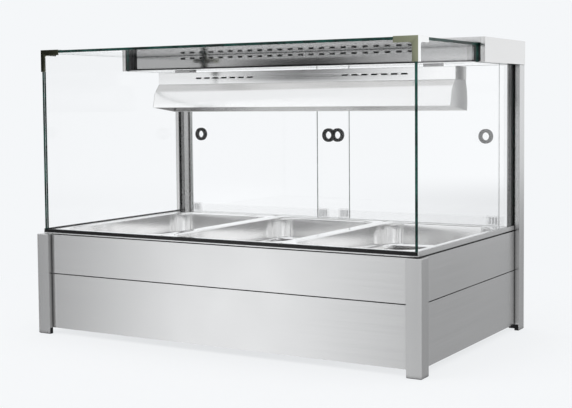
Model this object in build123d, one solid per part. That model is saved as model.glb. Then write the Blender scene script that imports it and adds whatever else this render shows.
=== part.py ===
from build123d import *
import math
import os

os.makedirs("parts", exist_ok=True)

# Countertop hot-food bar with three food pans over a water bath, a square glass
# front, a heat-lamp gantry and two sliding doors at the back, where it is served.
# Millimetres. X is to the right, the customer's side is at -Y and Z is up.
# The origin is on the floor, in the middle of the footprint.

# Food pans, each hung by its rim
pan_count = 3
pan_width = 325.0
pan_length = 530.0
pan_depth = 65.0
pan_sheet = 1.0
pan_rim = 12.5
pan_edge_drop = 3.0
pan_edge_corner = 14.0
pan_corner = 48.0
pan_floor_curve = 14.0
pan_taper = 4.0
pan_gap = 1.5
seat_gap = 0.3

# Deck that carries the pans, and the body around it
deck_sheet = 1.5
seat_width = 10.0
side_margin = 14.0
front_margin = 17.5
rear_margin = 43.5
ledge_drop = 12.0
skirt_drop = 13.5
rear_lip_drop = 8.5
panel_sheet = 1.2
panel_return = 10.0
panel_top_gap = 8.0
floor_clearance = 15.0
lower_panel_height = 133.0
panel_seam = 2.0
upper_panel_height = 95.0
control_recess = 8.0
rear_return = 25.0

# Corner legs, folded round the body, the back two running up to the gantry
leg_standout = 12.0
leg_face = 35.0
leg_sheet = 1.5
leg_top_above_panel = 1.0
foot_stand = 1.0
foot_plug = 16.0

# Rails that the glass stands in
rail_channel = 11.0
rail_sheet = 1.5
side_rail_rise = 6.0
rail_inner_rise = 3.5
front_rail_height = 2.5
front_rail_edge = 0.5

# Glass
glass_sheet = 6.0
glass_inset = 2.0
front_glass_height = 437.5
glass_joint = 0.3
glass_seat_drop = 2.0
top_glass_engagement = 23.0
seal_floor = 1.0
seal_lip = 1.8
front_seal_rise = 7.5
front_seal_overrun = 4.0

# Clips at the two front top corners
bracket_plate = 2.0
bracket_front_arm = 56.0
bracket_side_arm = 53.5
bracket_arm_height = 12.0
bracket_post_width = 14.0
bracket_post_drop = 51.5
bracket_fillet = 6.0
bracket_cap = 1.5

# Gantry header
header_height = 57.0
header_lip = 13.5
header_depth = 270.5
header_sheet = 1.5
header_cap_overhang = 1.5
header_cap_return = 10.5
fascia_setback = 15.0
fascia_slot_width = 14.5
fascia_slot_height = 5.0
fascia_slot_pitch = 29.7
fascia_slot_drop = 7.5
fascia_slot_margin = 160.0
holder_width = 17.0
slot_corner = 1.8

# Back posts inside the glass, and the sliding doors
channel_width = 17.0
channel_depth = 25.0
channel_groove_depth = 14.7
track_wall = 1.5
track_floor = 1.2
door_slot = 10.5
track_height = 25.0
track_front_gap = 8.25
track_end_gap = 12.5
top_track_depth = 38.0
buffer_width = 3.5
buffer_rise = 1.0
door_sheet = 5.0
door_overlap = 90.0
door_stop_gap = 3.0
door_floor_gap = 3.5
door_head_reach = 12.0
ring_outer = 36.0
ring_hole = 20.0
ring_body = 30.0
ring_lip = 2.0
ring_curve = 1.2
ring_edge = 34.6
ring_height = 223.5
glide_width = 32.0
glide_thickness = 9.6
glide_height = 27.0
glide_floor_gap = 0.3
glide_slot_width = 3.0
glide_slot_depth = 1.2
glide_slot_height = 18.0
glide_slot_margin = 4.0
glide_slot_count = 3

# Lamp box and hood under the header
lamp_end_clear = 56.0
lamp_mid_gap = 7.0
lamp_front_setback = 43.0
lamp_box_depth = 66.0
lamp_box_height = 31.0
lamp_sheet = 1.2
hanger_height = 6.0
hanger_width = 40.0
hanger_depth = 30.0
hanger_inset = 70.0
lamp_slot_count = 7
lamp_slot_width = 17.0
lamp_slot_height = 4.0
lamp_slot_pitch = 26.7
hood_front_flare = 20.0
hood_upper_drop = 24.5
hood_lip_flare = 8.0
hood_lower_drop = 36.5
hood_back_flare = 8.2
hood_back_tuck = 2.2
hood_back_drop = 37.0
hood_tail_drop = 36.0
hood_back_neck = 7.0
hood_back_step = 2.0

# Heat lamps
lamp_tube_diameter = 11.0
lamp_drop = 18.0
lamp_end_margin = 30.0
socket_length = 16.0
socket_depth = 20.0
socket_height = 24.0
socket_strap = 3.0
socket_engagement = 6.0
fit_gap = 0.05

# Water bath
tank_sheet = 1.2
tank_gap = 1.5
tank_flange = 6.0
water_below_pan = 38.0
bar_width = 18.0
bar_ledge_width = 30.0
bar_sheet = 1.2
bar_end_gap = 0.5
element_diameter = 8.0
element_rise = 8.0
element_spread = 160.0
element_front_gap = 45.0
element_tail = 16.0
clip_length = 24.0
clip_depth = 6.0
clip_inset = 90.0

# Drain, on the serving side
drain_from_side = 123.0
drain_from_rear = 93.0
drain_height = 62.0
drain_bore = 12.0
drain_pipe_diameter = 17.0
drain_elbow = 22.0
valve_body_diameter = 26.0
valve_body_length = 34.0
valve_setback = 12.0
outlet_length = 18.0
stem_diameter = 6.0
bonnet_rise = 5.0
stem_height = 9.0
lever_length = 40.0
lever_width = 10.0
lever_thickness = 3.0
lever_hub = 14.0
pocket_side_clear = 14.0
pocket_below = 22.0
pocket_above = 34.0

# Controls on the serving side
thermostat_x = 150.0
control_height = 36.0
thermostat_width = 44.0
thermostat_depth = 28.0
shaft_diameter = 6.0
shaft_reach = 12.0
shaft_clear = 1.0
knob_diameter = 42.0
knob_grip_diameter = 34.0
knob_skirt = 4.0
knob_height = 16.5
knob_rib_width = 9.0
knob_rib_rise = 1.0
knob_edge = 1.0
knob_panel_gap = 0.5
knob_pointer_width = 1.6
knob_pointer_depth = 0.6
switch_count = 2
switch_x = 40.0
switch_pitch = 70.0
switch_bezel_width = 22.0
switch_bezel_height = 31.0
switch_bezel_rise = 2.0
switch_body_depth = 22.0
switch_body_wall = 2.2
switch_body_floor = 2.0
rocker_width = 15.0
rocker_height = 21.0
rocker_face = 5.0
rocker_face_rise = 1.0
rocker_heel = 5.0
rocker_heel_height = 7.0
rocker_dish = 1.2
rocker_angle = 8.0
rocker_axle = 3.0
rocker_clear = 0.6
pilot_offset = 26.0
pilot_diameter = 9.0
pilot_rise = 3.0
pilot_curve = 2.4
pilot_body_diameter = 7.0
pilot_body_length = 12.0

# Cable gland, vents, terminal block and screws
gland_from_side = 123.0
gland_height = 62.0
gland_nut_across = 22.0
gland_nut_thickness = 5.0
gland_thread = 16.0
gland_thread_past = 2.0
gland_dome_diameter = 20.0
gland_dome_length = 7.0
gland_dome_curve = 3.5
gland_cable = 9.0
vent_count = 14
vent_pitch = 16.0
vent_width = 5.0
vent_height = 42.0
vent_base = 42.0
terminal_length = 70.0
terminal_depth = 22.0
terminal_height = 20.0
terminal_ways = 5
terminal_screw = 7.0
terminal_screw_depth = 10.0
terminal_notch = 1.6
terminal_notch_depth = 8.0
terminal_x = -250.0
terminal_from_rear = 60.0
screw_diameter = 4.0
screw_head = 8.0
screw_head_height = 2.4
screw_head_curve = 1.4
screw_drive = 4.8
screw_drive_width = 1.0
screw_length = 10.0
screw_edge = 24.0
screw_rows_inset = 14.0

# Plan positions that follow from the sizes above
pan_pitch = pan_width + pan_gap
pans_width = pan_count * pan_pitch - pan_gap
body_x = pans_width / 2 + side_margin
body_y = (front_margin + pan_length + rear_margin) / 2
leg_x = body_x + leg_standout
leg_y = body_y + leg_standout
pan_front_y = -body_y + front_margin
pan_back_y = pan_front_y + pan_length
deck_x = body_x - rail_channel
opening_x = pans_width / 2 - seat_width
opening_front_y = pan_front_y + seat_width
opening_back_y = pan_back_y - seat_width
deck_front_y = -body_y + rail_channel + glass_inset
control_y = body_y - control_recess
glass_x = body_x - glass_inset
glass_y = -body_y + glass_inset
channel_front_y = body_y - channel_depth
groove_end_y = channel_front_y + channel_groove_depth
post_inner_x = glass_x - channel_width
header_front_y = leg_y - header_depth
fold_x = leg_x + header_cap_overhang - header_cap_return
top_track_x = post_inner_x - header_sheet

# Heights that follow
lower_top_z = floor_clearance + lower_panel_height
upper_base_z = lower_top_z + panel_seam
upper_top_z = upper_base_z + upper_panel_height
deck_z = upper_top_z + panel_top_gap
leg_top_z = upper_top_z + leg_top_above_panel
deck_under_z = deck_z - deck_sheet
glass_base_z = deck_z - glass_seat_drop
rail_floor_z = glass_base_z - seal_floor
pan_top_z = deck_z + seat_gap + pan_edge_drop
pan_base_z = pan_top_z - pan_depth
tank_floor_z = pan_base_z - water_below_pan
top_glass_z = glass_base_z + front_glass_height
glass_top_z = top_glass_z + glass_sheet
header_top_z = glass_top_z + header_lip
header_z = header_top_z - header_height

# Doors and track
track_x = post_inner_x - track_end_gap - buffer_width
track_y = opening_back_y + seat_width + track_front_gap
track_depth = 3 * track_wall + 2 * door_slot
front_door_y = track_y + track_wall + door_slot / 2
rear_door_y = front_door_y + track_wall + door_slot
door_edge_x = track_x - door_stop_gap
door_z = deck_z + door_floor_gap
door_height = header_z + door_head_reach - door_z
ring_z = deck_z + ring_height

# Lamps
lamp_x = post_inner_x - lamp_end_clear
lamp_front_y = header_front_y + lamp_front_setback
lamp_back_y = lamp_front_y + lamp_box_depth
lamp_top_z = header_z - hanger_height
lamp_base_z = lamp_top_z - lamp_box_height
lamp_bay_x = (lamp_mid_gap + lamp_x) / 2
lamp_tube_length = lamp_x - lamp_mid_gap - 2 * lamp_end_margin
lamp_axis_y = (lamp_front_y + lamp_back_y) / 2
lamp_axis_z = lamp_base_z - lamp_drop

# Drain and controls
drain_x = body_x - drain_from_side
drain_z = floor_clearance + drain_height
valve_end_y = control_y - valve_setback
stem_y = valve_end_y - valve_body_length / 2
lever_z = drain_z + valve_body_diameter / 2 + bonnet_rise
gland_x = gland_from_side - body_x
gland_z = floor_clearance + gland_height
control_z = upper_base_z + control_height
rocker_pivot_y = control_y + switch_bezel_rise - rocker_face + rocker_face_rise
control_span = (upper_base_z, deck_under_z)
rear_span = (floor_clearance, lower_top_z)
switch_places = [switch_x - i * switch_pitch for i in range(switch_count)]


def slab(x, y, z):
    """Box between three (low, high) pairs."""
    size = Box(x[1] - x[0], y[1] - y[0], z[1] - z[0])
    return Pos((x[0] + x[1]) / 2, (y[0] + y[1]) / 2, (z[0] + z[1]) / 2) * size


def rod_y(radius, y, x, z):
    """Cylinder along Y from y[0] to y[1]."""
    return Pos(x, (y[0] + y[1]) / 2, z) * Rot(90, 0, 0) * Cylinder(radius, y[1] - y[0])


def rod_x(radius, x, y, z):
    """Cylinder along X from x[0] to x[1]."""
    return Pos((x[0] + x[1]) / 2, y, z) * Rot(0, 90, 0) * Cylinder(radius, x[1] - x[0])


def rod_z(radius, z, x, y):
    """Cylinder along Z from z[0] to z[1]."""
    return Pos(x, y, (z[0] + z[1]) / 2) * Cylinder(radius, z[1] - z[0])


def along_x(face, half_length):
    """Solid of a (Y, Z) outline, from -half_length to half_length on X."""
    return Pos(-half_length, 0, 0) * extrude(Plane.YZ * face, amount=2 * half_length)


def left(part):
    return mirror(part, about=Plane.YZ)


def front(part):
    return mirror(part, about=Plane.XZ)


def joined(pieces):
    whole = pieces[0]
    for piece in pieces[1:]:
        whole += piece
    return whole


def outer_rim(part):
    """The round edge of part that is furthest to the back."""
    return part.edges().filter_by(GeomType.CIRCLE).sort_by(Axis.Y)[-1]


def pan_places():
    """X of each pan's middle, from the left."""
    return [(i - (pan_count - 1) / 2) * pan_pitch for i in range(pan_count)]


# Legs and feet

def corner_face(inset):
    """Angle section of a leg, from its outer corner, drawn in by inset."""
    arm = leg_face - inset
    thick = leg_standout - inset
    corners = [(-inset, -inset), (-arm, -inset), (-arm, -thick)]
    corners += [(-thick, -thick), (-thick, -arm), (-inset, -arm)]
    return make_face(Polyline(*corners, close=True))


def leg(top_z):
    """Back right leg, a folded angle tube with a closed top."""
    tube = extrude(corner_face(0), amount=top_z - foot_stand)
    hollow = extrude(corner_face(leg_sheet), amount=top_z - foot_stand - leg_sheet)
    bare = slab((-leg_face, -leg_sheet), (-leg_face, -leg_sheet), (0, floor_clearance - foot_stand))
    return Pos(leg_x, leg_y, foot_stand) * (tube - hollow - bare)


def foot():
    """Back right foot, a plug in the tube with its two inner sides bare."""
    inner = -leg_sheet
    corners = [(inner, inner), (-leg_face, inner), (-leg_face, -leg_standout)]
    corners += [(-leg_standout, -leg_standout), (-leg_standout, -leg_face), (inner, -leg_face)]
    pad = extrude(make_face(Polyline(*corners, close=True)), amount=floor_clearance)
    plug = extrude(corner_face(leg_sheet), amount=floor_clearance + foot_plug)
    return Pos(leg_x, leg_y, 0) * (pad + plug)


def feet():
    right = foot()
    back_pair = right + left(right)
    return back_pair + front(back_pair)


# Panels

def front_panel(z, top_return):
    """Front panel with a return along its top and its foot."""
    inner_y = -body_y + panel_sheet
    side = body_x - panel_sheet
    plate = slab((-body_x, body_x), (-body_y, inner_y), z)
    head = slab((-side, side), (inner_y, -body_y + top_return), (z[1] - panel_sheet, z[1]))
    sill = slab((-side, side), (inner_y, -body_y + panel_return), (z[0], z[0] + panel_sheet))
    return plate + head + sill


def side_panel(z, top_return, front_return):
    """Right side panel with returns along its top, its foot and its back edge."""
    inner_x = body_x - panel_sheet
    run = (-body_y + front_return, control_y - panel_sheet)
    plate = slab((inner_x, body_x), (-body_y + panel_sheet, body_y), z)
    back = slab((body_x - rear_return, inner_x), (body_y - panel_sheet, body_y), z)
    sill = slab((body_x - panel_return, inner_x), run, (z[0], z[0] + panel_sheet))
    head_run = (run[0], min(run[1], channel_front_y))
    head = slab((body_x - top_return, inner_x), head_run, (z[1] - panel_sheet, z[1]))
    return plate + back + sill + head


def panel_screw_places(z):
    """(x, z) of the screws of a rear panel that spans the heights in z."""
    places = []
    for side in (-1, 1):
        for level in (z[0] + screw_rows_inset, z[1] - screw_rows_inset):
            places.append((side * (body_x - rear_return - screw_edge), level))
    return places


def control_panel():
    """Upper rear panel, tucked in under the deck's back lip."""
    inner_y = control_y - panel_sheet
    panel = slab((-body_x + panel_sheet, body_x - panel_sheet), (inner_y, control_y), control_span)
    through = (inner_y, control_y)
    panel -= rod_y(shaft_diameter / 2 + shaft_clear, through, thermostat_x, control_z)
    for x in switch_places:
        half_width = switch_bezel_width / 2 - switch_body_wall
        half_height = switch_bezel_height / 2 - switch_body_wall
        hole_z = (control_z - half_height, control_z + half_height)
        panel -= slab((x - half_width, x + half_width), through, hole_z)
        panel -= rod_y(pilot_body_diameter / 2, through, x + pilot_offset, control_z)
    for x, z in panel_screw_places(control_span):
        panel -= rod_y(screw_diameter / 2 + fit_gap, through, x, z)
    return panel


def rear_panel():
    """Lower rear panel with the drain opening, the vents and the gland's hole."""
    inner_y = control_y - panel_sheet
    panel = slab((-body_x + panel_sheet, body_x - panel_sheet), (inner_y, control_y), rear_span)
    through = (inner_y, control_y)
    pocket_left = drain_x - lever_length - pocket_side_clear
    pocket_right = drain_x + valve_body_diameter / 2 + pocket_side_clear
    pocket_z = (drain_z - pocket_below, drain_z + pocket_above)
    panel -= slab((pocket_left, pocket_right), through, pocket_z)
    panel -= rod_y(gland_thread / 2, through, gland_x, gland_z)
    vent_z = (floor_clearance + vent_base, floor_clearance + vent_base + vent_height)
    for i in range(vent_count):
        x = (i - (vent_count - 1) / 2) * vent_pitch
        half = vent_width / 2
        panel -= slab((x - half, x + half), through, vent_z)
    for x, z in panel_screw_places(rear_span):
        panel -= rod_y(screw_diameter / 2 + fit_gap, through, x, z)
    return panel


def panel_screws():
    """Pan-head screws of the two rear panels."""
    screws = []
    for x, z in panel_screw_places(control_span) + panel_screw_places(rear_span):
        head = rod_y(screw_head / 2, (control_y, control_y + screw_head_height), x, z)
        head = fillet(outer_rim(head), screw_head_curve)
        drive = Pos(x, control_y + screw_head_height, z) * Rot(90, 0, 0)
        slot = drive * Box(screw_drive, screw_drive_width, screw_head_height)
        cross = drive * Box(screw_drive_width, screw_drive, screw_head_height)
        shank = rod_y(screw_diameter / 2, (control_y - screw_length, control_y), x, z)
        screws.append(head - slot - cross + shank)
    return joined(screws)


def base_tray():
    """Floor of the body, lying on the lower panels' returns."""
    floor_z = floor_clearance + panel_sheet
    reach = body_x - panel_sheet
    run = (-body_y + panel_sheet, control_y - panel_sheet)
    return slab((-reach, reach), run, (floor_z, floor_z + panel_sheet))


# Deck and rails

def deck_frame():
    """Top plate with the pans' opening, ledges for the bars and outer skirts."""
    back_y = body_y - panel_sheet
    plate = slab((-deck_x, deck_x), (deck_front_y, back_y), (deck_under_z, deck_z))
    wing_x = body_x - panel_sheet
    plate += slab((-wing_x, wing_x), (groove_end_y + glass_joint, back_y), (deck_under_z, deck_z))
    ledge_z = deck_z - ledge_drop
    skirt_z = deck_z - deck_sheet - skirt_drop
    for side in (-1, 1):
        outer = sorted((side * deck_x, side * (deck_x - deck_sheet)))
        plate += slab(outer, (deck_front_y, channel_front_y), (skirt_z, deck_under_z))
        inner = sorted((side * opening_x, side * (opening_x + deck_sheet)))
        run = (opening_front_y - deck_sheet, opening_back_y + deck_sheet)
        plate += slab(inner, run, (ledge_z - deck_sheet, deck_under_z))
    plate += slab((-deck_x, deck_x), (deck_front_y, deck_front_y + deck_sheet), (skirt_z, deck_under_z))
    lip_z = deck_z - deck_sheet - rear_lip_drop
    plate += slab((-wing_x, wing_x), (back_y - deck_sheet, back_y), (lip_z, deck_under_z))
    plate -= slab((-opening_x, opening_x), (opening_front_y, opening_back_y), (deck_under_z, deck_z))
    for edge_y, way in ((opening_front_y, 1), (opening_back_y, -1)):
        wall = sorted((edge_y, edge_y - way * deck_sheet))
        plate += slab((-opening_x, opening_x), wall, (ledge_z - deck_sheet, deck_under_z))
        ledge = sorted((edge_y, edge_y + way * seat_width))
        for x in bar_places():
            half = bar_ledge_width / 2
            plate += slab((x - half, x + half), ledge, (ledge_z - deck_sheet, ledge_z))
    return plate


def bar_places():
    """X of each bar, halfway between two pans."""
    places = pan_places()
    return [(places[i] + places[i + 1]) / 2 for i in range(pan_count - 1)]


def divider_bars():
    """Bars between the pans, open below, lying on the deck's ledges."""
    bars = []
    base_z = deck_z - ledge_drop
    run = (opening_front_y + bar_end_gap, opening_back_y - bar_end_gap)
    for x in bar_places():
        half = bar_width / 2
        bar = slab((x - half, x + half), run, (base_z, deck_z))
        inner = half - bar_sheet
        bar -= slab((x - inner, x + inner), run, (base_z, deck_z - bar_sheet))
        bars.append(bar)
    return joined(bars)


def side_rail():
    """Right rail, a channel that the side glass stands in."""
    base_z = rail_floor_z - rail_sheet
    floor = slab((deck_x, body_x), (-body_y, channel_front_y), (base_z, rail_floor_z))
    floor += slab((deck_x, body_x - panel_sheet), (channel_front_y, groove_end_y), (base_z, rail_floor_z))
    outer = slab((body_x - rail_sheet, body_x), (-body_y, channel_front_y), (base_z, deck_z + side_rail_rise))
    inner_z = (base_z, deck_z + rail_inner_rise)
    inner = slab((deck_x, deck_x + rail_sheet), (deck_front_y, channel_front_y), inner_z)
    return floor + outer + inner


def front_rail():
    """Rail along the front edge that carries the front glass."""
    base_z = rail_floor_z - front_rail_height
    sill = slab((-deck_x, deck_x), (-body_y, deck_front_y), (rail_floor_z - rail_sheet, rail_floor_z))
    nose = slab((-deck_x, deck_x), (-body_y, -body_y + rail_sheet), (base_z, rail_floor_z))
    web = slab((-deck_x, deck_x), (deck_front_y - rail_sheet, deck_front_y), (base_z, rail_floor_z))
    rail = sill + nose + web
    front_edges = rail.edges().filter_by(Axis.X).group_by(Axis.Y)[0]
    return chamfer(front_edges.sort_by(Axis.Z)[-1], front_rail_edge)


def deck_rails():
    right = side_rail()
    return right + left(right) + front_rail()


# Water bath

def heater_clip_places():
    """(x, y) of the clips that hold the elements off the tank's floor."""
    places = []
    for middle in pan_places():
        for side in (-1, 1):
            for y in (opening_front_y + clip_inset, opening_back_y - clip_inset):
                places.append((middle + side * element_spread / 2, y))
    return places


def water_tank():
    """Open tank under the deck, with a flange at its rim and the elements' clips."""
    side = opening_x + deck_sheet + tank_gap
    front_y = opening_front_y - deck_sheet - tank_gap
    back_y = opening_back_y + deck_sheet + tank_gap
    out = tank_sheet
    inside = slab((-side, side), (front_y, back_y), (tank_floor_z, deck_under_z))
    wall = slab((-side - out, side + out), (front_y - out, back_y + out), (tank_floor_z - out, deck_under_z))
    rim = out + tank_flange
    rim_z = (deck_under_z - tank_sheet, deck_under_z)
    flange = slab((-side - rim, side + rim), (front_y - rim, back_y + rim), rim_z)
    tank = wall + flange - inside
    for x, y in heater_clip_places():
        half = clip_length / 2
        block = slab((x - half, x + half), (y - clip_depth / 2, y + clip_depth / 2),
                     (tank_floor_z, tank_floor_z + element_rise))
        tank += block
    for middle in pan_places():
        for side in (-1, 1):
            x = middle + side * element_spread / 2
            z = tank_floor_z + element_rise + element_diameter / 2
            tank -= rod_y(element_diameter / 2 + fit_gap, (back_y, back_y + out), x, z)
    drain_y = body_y - drain_from_rear
    return tank - rod_z(drain_bore / 2, (tank_floor_z - out, tank_floor_z), drain_x, drain_y)


def heating_elements():
    """One hairpin tube under each pan, its ends through the tank's back wall."""
    z = tank_floor_z + element_rise + element_diameter / 2
    back_y = opening_back_y + deck_sheet + tank_gap + tank_sheet + element_tail
    bend = element_spread / 2
    turn_y = opening_front_y + element_front_gap + bend
    tubes = []
    for middle in pan_places():
        turn_start = (middle - bend, turn_y, z)
        turn_end = (middle + bend, turn_y, z)
        path = Line((middle - bend, back_y, z), turn_start)
        path += ThreePointArc(turn_start, (middle, turn_y - bend, z), turn_end)
        path += Line(turn_end, (middle + bend, back_y, z))
        start = Plane((middle - bend, back_y, z), x_dir=(1, 0, 0), z_dir=(0, -1, 0))
        tubes.append(sweep(start * Circle(element_diameter / 2), path=path))
    return joined(tubes)


# Drain

def drain_path(start_z, end_y):
    """Centre line from the tank down, round the elbow and out to the back."""
    y = body_y - drain_from_rear
    turn_start = (drain_x, y, drain_z + drain_elbow)
    turn_end = (drain_x, y + drain_elbow, drain_z)
    inset = drain_elbow * (1 - math.sqrt(0.5))
    path = Line((drain_x, y, start_z), turn_start)
    path += ThreePointArc(turn_start, (drain_x, y + inset, drain_z + inset), turn_end)
    return path + Line(turn_end, (drain_x, end_y, drain_z))


def drain_valve():
    """Pipe from the tank, elbow, ball-valve body, outlet and stem."""
    top_z = tank_floor_z - tank_sheet
    path = drain_path(top_z, valve_end_y + outlet_length)
    mouth = Plane((drain_x, body_y - drain_from_rear, top_z), x_dir=(1, 0, 0), z_dir=(0, 0, -1))
    valve = sweep(mouth * Circle(drain_pipe_diameter / 2), path=path)
    valve += rod_y(valve_body_diameter / 2, (valve_end_y - valve_body_length, valve_end_y), drain_x, drain_z)
    valve += rod_z(lever_hub / 2, (drain_z, lever_z - seat_gap), drain_x, stem_y)
    valve += rod_z(stem_diameter / 2, (drain_z, lever_z + stem_height), drain_x, stem_y)
    return valve - sweep(mouth * Circle(drain_bore / 2), path=path)


def drain_lever():
    """Quarter-turn lever, closed across the pipe and open along it."""
    top_z = lever_z + lever_thickness
    hub_z = (lever_z, top_z + lever_thickness)
    half = lever_width / 2
    end_x = drain_x - lever_length + half
    lever = rod_z(lever_hub / 2, hub_z, drain_x, stem_y)
    lever += slab((end_x, drain_x), (stem_y - half, stem_y + half), (lever_z, top_z))
    lever += rod_z(half, (lever_z, top_z), end_x, stem_y)
    return lever - rod_z(stem_diameter / 2 + fit_gap, hub_z, drain_x, stem_y)


# Controls

def thermostat():
    """Thermostat body behind the panel, with the bush that the knob's shaft turns in."""
    half = thermostat_width / 2
    back_y = control_y - panel_sheet
    body = slab((thermostat_x - half, thermostat_x + half), (back_y - thermostat_depth, back_y),
                (control_z - half, control_z + half))
    bush = (back_y - shaft_reach - shaft_clear, back_y)
    return body - rod_y(shaft_diameter / 2 + fit_gap, bush, thermostat_x, control_z)


def thermostat_knob():
    """Ribbed dial knob with its shaft."""
    face_y = control_y + knob_panel_gap
    skirt = rod_y(knob_diameter / 2, (face_y, face_y + knob_skirt), thermostat_x, control_z)
    grip_end = face_y + knob_height - knob_rib_rise
    grip = rod_y(knob_grip_diameter / 2, (face_y, grip_end), thermostat_x, control_z)
    grip = chamfer(outer_rim(grip), knob_edge)
    half = knob_rib_width / 2
    reach = knob_grip_diameter / 2
    rib = slab((thermostat_x - half, thermostat_x + half), (face_y, face_y + knob_height),
               (control_z - reach, control_z + reach))
    rib &= rod_y(reach, (face_y, face_y + knob_height), thermostat_x, control_z)
    pointer_x = (thermostat_x - knob_pointer_width / 2, thermostat_x + knob_pointer_width / 2)
    pointer_y = (face_y + knob_height - knob_pointer_depth, face_y + knob_height)
    knob = skirt + grip + rib - slab(pointer_x, pointer_y, (control_z, control_z + reach))
    shaft_start = control_y - panel_sheet - shaft_reach
    return knob + rod_y(shaft_diameter / 2, (shaft_start, face_y + knob_skirt), thermostat_x, control_z)


def switch_housings():
    """Bezels with bodies behind the panel, each with holes for the rocker's axle."""
    housings = []
    for x in switch_places:
        wide = switch_bezel_width / 2
        tall = switch_bezel_height / 2
        bezel = slab((x - wide, x + wide), (control_y, control_y + switch_bezel_rise),
                     (control_z - tall, control_z + tall))
        wide_in = wide - switch_body_wall
        tall_in = tall - switch_body_wall
        body = slab((x - wide_in, x + wide_in), (control_y - switch_body_depth, control_y),
                    (control_z - tall_in, control_z + tall_in))
        half = rocker_width / 2 + rocker_clear / 2
        reach = math.hypot(rocker_height / 2, rocker_face) + rocker_clear
        well_y = (control_y - switch_body_depth + switch_body_floor, control_y + switch_bezel_rise)
        well = slab((x - half, x + half), well_y, (control_z - reach, control_z + reach))
        housing = bezel + body - well
        holes = (x - wide_in, x + wide_in)
        housing -= rod_x(rocker_axle / 2 + fit_gap, holes, rocker_pivot_y, control_z)
        housings.append(housing)
    return joined(housings)


def rocker(x):
    """Rocker with a dished face and its axle, tipped to its off side."""
    tall = rocker_height / 2
    heel = rocker_heel_height / 2
    corners = [(rocker_face, -tall), (rocker_face - rocker_dish, 0), (rocker_face, tall), (0, tall)]
    corners += [(-rocker_heel, heel), (-rocker_heel, -heel), (0, -tall)]
    outline = Polyline(*corners, close=True)
    body = along_x(make_face(outline), rocker_width / 2)
    wide_in = switch_bezel_width / 2 - switch_body_wall
    axle = Rot(0, 90, 0) * Cylinder(rocker_axle / 2, 2 * (wide_in - seat_gap))
    return Pos(x, rocker_pivot_y, control_z) * Rot(-rocker_angle, 0, 0) * (body + axle)


def indicator_lamps():
    """Pilot lights beside the switches."""
    lamps = []
    for switch in switch_places:
        x = switch + pilot_offset
        lens = rod_y(pilot_diameter / 2, (control_y, control_y + pilot_rise), x, control_z)
        lens = fillet(outer_rim(lens), pilot_curve)
        body = rod_y(pilot_body_diameter / 2, (control_y - pilot_body_length, control_y), x, control_z)
        lamps.append(lens + body)
    return joined(lamps)


def cable_gland():
    """Gland for the supply cable, with a nut on each side of the panel."""
    z = gland_z
    inner_y = control_y - panel_sheet
    hexagon = RegularPolygon(gland_nut_across / 2, 6, major_radius=False)
    nut = Pos(gland_x, 0, z) * Rot(90, 0, 0) * extrude(hexagon, amount=gland_nut_thickness)
    outer = Pos(0, control_y + gland_nut_thickness, 0) * nut
    inner = Pos(0, inner_y, 0) * nut
    thread_start = inner_y - gland_nut_thickness - gland_thread_past
    thread = rod_y(gland_thread / 2, (thread_start, control_y), gland_x, z)
    dome_end = control_y + gland_nut_thickness + gland_dome_length
    dome = rod_y(gland_dome_diameter / 2, (control_y + gland_nut_thickness, dome_end), gland_x, z)
    dome = fillet(outer_rim(dome), gland_dome_curve)
    bore = rod_y(gland_cable / 2, (thread_start, dome_end), gland_x, z)
    return outer + inner + thread + dome - bore


def terminal_block():
    """Terminal block on the base tray."""
    z = floor_clearance + 2 * panel_sheet
    y = control_y - terminal_from_rear
    half = terminal_length / 2
    block = slab((terminal_x - half, terminal_x + half), (y - terminal_depth / 2, y + terminal_depth / 2),
                 (z, z + terminal_height))
    way = terminal_length / terminal_ways
    top_z = z + terminal_height
    for i in range(terminal_ways):
        x = terminal_x - half + way * (i + 0.5)
        block -= rod_z(terminal_screw / 2, (top_z - terminal_screw_depth, top_z), x, y)
    notch_y = (y - terminal_depth / 2, y + terminal_depth / 2)
    for i in range(1, terminal_ways):
        x = terminal_x - half + way * i
        notch_x = (x - terminal_notch / 2, x + terminal_notch / 2)
        block -= slab(notch_x, notch_y, (top_z - terminal_notch_depth, top_z))
    return block


# Glass

def front_glass():
    side = glass_x - glass_sheet - glass_joint
    return slab((-side, side), (glass_y, glass_y + glass_sheet), (glass_base_z, top_glass_z))


def side_glass():
    """Right pane, tall up to the header's front and low under the header."""
    tall_end = header_front_y - glass_joint
    low_z = header_z - glass_joint
    corners = [(glass_y, glass_base_z), (groove_end_y, glass_base_z), (groove_end_y, low_z)]
    corners += [(tall_end, low_z), (tall_end, top_glass_z), (glass_y, top_glass_z)]
    pane = extrude(Plane.YZ * make_face(Polyline(*corners, close=True)), amount=glass_sheet)
    return Pos(glass_x - glass_sheet, 0, 0) * pane


def top_glass():
    back_y = header_front_y + top_glass_engagement
    return slab((-glass_x, glass_x), (glass_y, back_y), (top_glass_z, glass_top_z))


def front_glass_seal():
    """Black channel strip that the front glass stands in."""
    z = (rail_floor_z, rail_floor_z + front_seal_rise)
    side = glass_x - glass_sheet - glass_joint
    nose_x = side + front_seal_overrun
    back_y = glass_y + glass_sheet
    lip = slab((-nose_x, nose_x), (glass_y - seal_lip, glass_y), z)
    foot = slab((-side, side), (glass_y, back_y), (rail_floor_z, glass_base_z))
    return lip + foot + slab((-side, side), (back_y, back_y + seal_lip), z)


def glass_seals():
    """Strips under the side panes and in the joints of the back posts."""
    under = slab((glass_x - glass_sheet, glass_x), (glass_y, groove_end_y), (rail_floor_z, glass_base_z))
    joint = slab((glass_x, body_x), (channel_front_y, body_y), (deck_z, header_z))
    right = under + joint
    return right + left(right)


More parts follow.
